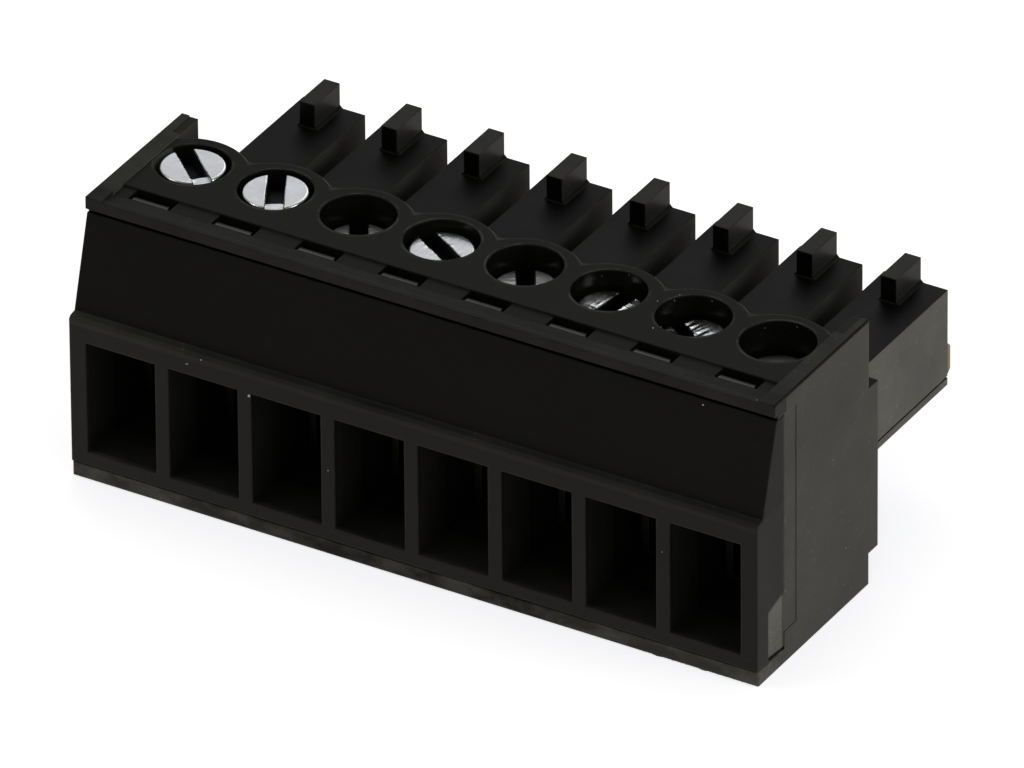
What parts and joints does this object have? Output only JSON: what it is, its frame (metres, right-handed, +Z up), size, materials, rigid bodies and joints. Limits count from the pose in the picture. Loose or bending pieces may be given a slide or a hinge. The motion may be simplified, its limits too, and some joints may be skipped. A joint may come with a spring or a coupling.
{
  "type": "pcb terminal block",
  "caption": "Low black pluggable screw terminal block with a row of wire windows, slotted clamp screws in round wells and a ribbed plug nose with pin sockets behind.",
  "frame": {"origin": "bottom centre of the whole plug", "axes": "+X along the row of ways, wires enter from -Y, header pins enter from +Y, +Z up towards the screwdriver"},
  "size_m": [0.0288, 0.0154, 0.0112],
  "materials": {
    "housing_plastic": "fine satin, moulded black polyamide",
    "cover_plastic": "fine satin, moulded black polyamide",
    "screw_zinc": "zinc plated, slots marked by the driver",
    "cage_nickel": "nickel plated",
    "contact_tin": "tin plated copper alloy"
  },
  "bodies": {
    "housing": {"main_housing": "housing_plastic", "front_cover": "cover_plastic", "contact_1": "contact_tin", "contact_2": "contact_tin", "contact_3": "contact_tin", "contact_4": "contact_tin", "contact_5": "contact_tin", "contact_6": "contact_tin", "contact_7": "contact_tin", "contact_8": "contact_tin"},
    "screw_1": {"clamp_screw_1": "screw_zinc"},
    "cage_1": {"clamp_cage_1": "cage_nickel"},
    "screw_2": {"clamp_screw_2": "screw_zinc"},
    "cage_2": {"clamp_cage_2": "cage_nickel"},
    "screw_3": {"clamp_screw_3": "screw_zinc"},
    "cage_3": {"clamp_cage_3": "cage_nickel"},
    "screw_4": {"clamp_screw_4": "screw_zinc"},
    "cage_4": {"clamp_cage_4": "cage_nickel"},
    "screw_5": {"clamp_screw_5": "screw_zinc"},
    "cage_5": {"clamp_cage_5": "cage_nickel"},
    "screw_6": {"clamp_screw_6": "screw_zinc"},
    "cage_6": {"clamp_cage_6": "cage_nickel"},
    "screw_7": {"clamp_screw_7": "screw_zinc"},
    "cage_7": {"clamp_cage_7": "cage_nickel"},
    "screw_8": {"clamp_screw_8": "screw_zinc"},
    "cage_8": {"clamp_cage_8": "cage_nickel"}
  },
  "joints": [
    {"name": "screw_turn_1", "type": "hinge", "parent": "housing", "child": "screw_1", "pos_m": [-0.01225, -0.00245, 0.008], "axis": [0, 0, 1], "range_deg": [-1710, 0]},
    {"name": "cage_rise_1", "type": "slide", "parent": "housing", "child": "cage_1", "axis": [0, 0, 1], "range_m": [0, 0.0019]},
    {"name": "screw_turn_2", "type": "hinge", "parent": "housing", "child": "screw_2", "pos_m": [-0.00875, -0.00245, 0.008], "axis": [0, 0, 1], "range_deg": [-1710, 0]},
    {"name": "cage_rise_2", "type": "slide", "parent": "housing", "child": "cage_2", "axis": [0, 0, 1], "range_m": [0, 0.0019]},
    {"name": "screw_turn_3", "type": "hinge", "parent": "housing", "child": "screw_3", "pos_m": [-0.00525, -0.00245, 0.008], "axis": [0, 0, 1], "range_deg": [-1710, 0]},
    {"name": "cage_rise_3", "type": "slide", "parent": "housing", "child": "cage_3", "axis": [0, 0, 1], "range_m": [0, 0.0019]},
    {"name": "screw_turn_4", "type": "hinge", "parent": "housing", "child": "screw_4", "pos_m": [-0.00175, -0.00245, 0.008], "axis": [0, 0, 1], "range_deg": [-1710, 0]},
    {"name": "cage_rise_4", "type": "slide", "parent": "housing", "child": "cage_4", "axis": [0, 0, 1], "range_m": [0, 0.0019]},
    {"name": "screw_turn_5", "type": "hinge", "parent": "housing", "child": "screw_5", "pos_m": [0.00175, -0.00245, 0.008], "axis": [0, 0, 1], "range_deg": [-1710, 0]},
    {"name": "cage_rise_5", "type": "slide", "parent": "housing", "child": "cage_5", "axis": [0, 0, 1], "range_m": [0, 0.0019]},
    {"name": "screw_turn_6", "type": "hinge", "parent": "housing", "child": "screw_6", "pos_m": [0.00525, -0.00245, 0.008], "axis": [0, 0, 1], "range_deg": [-1710, 0]},
    {"name": "cage_rise_6", "type": "slide", "parent": "housing", "child": "cage_6", "axis": [0, 0, 1], "range_m": [0, 0.0019]},
    {"name": "screw_turn_7", "type": "hinge", "parent": "housing", "child": "screw_7", "pos_m": [0.00875, -0.00245, 0.008], "axis": [0, 0, 1], "range_deg": [-1710, 0]},
    {"name": "cage_rise_7", "type": "slide", "parent": "housing", "child": "cage_7", "axis": [0, 0, 1], "range_m": [0, 0.0019]},
    {"name": "screw_turn_8", "type": "hinge", "parent": "housing", "child": "screw_8", "pos_m": [0.01225, -0.00245, 0.008], "axis": [0, 0, 1], "range_deg": [-1710, 0]},
    {"name": "cage_rise_8", "type": "slide", "parent": "housing", "child": "cage_8", "axis": [0, 0, 1], "range_m": [0, 0.0019]}
  ],
  "couplings": [
    {"joint": "screw_turn_1", "follows": "cage_rise_1", "rad_per_m": -15708},
    {"joint": "screw_turn_2", "follows": "cage_rise_2", "rad_per_m": -15708},
    {"joint": "screw_turn_3", "follows": "cage_rise_3", "rad_per_m": -15708},
    {"joint": "screw_turn_4", "follows": "cage_rise_4", "rad_per_m": -15708},
    {"joint": "screw_turn_5", "follows": "cage_rise_5", "rad_per_m": -15708},
    {"joint": "screw_turn_6", "follows": "cage_rise_6", "rad_per_m": -15708},
    {"joint": "screw_turn_7", "follows": "cage_rise_7", "rad_per_m": -15708},
    {"joint": "screw_turn_8", "follows": "cage_rise_8", "rad_per_m": -15708}
  ]
}
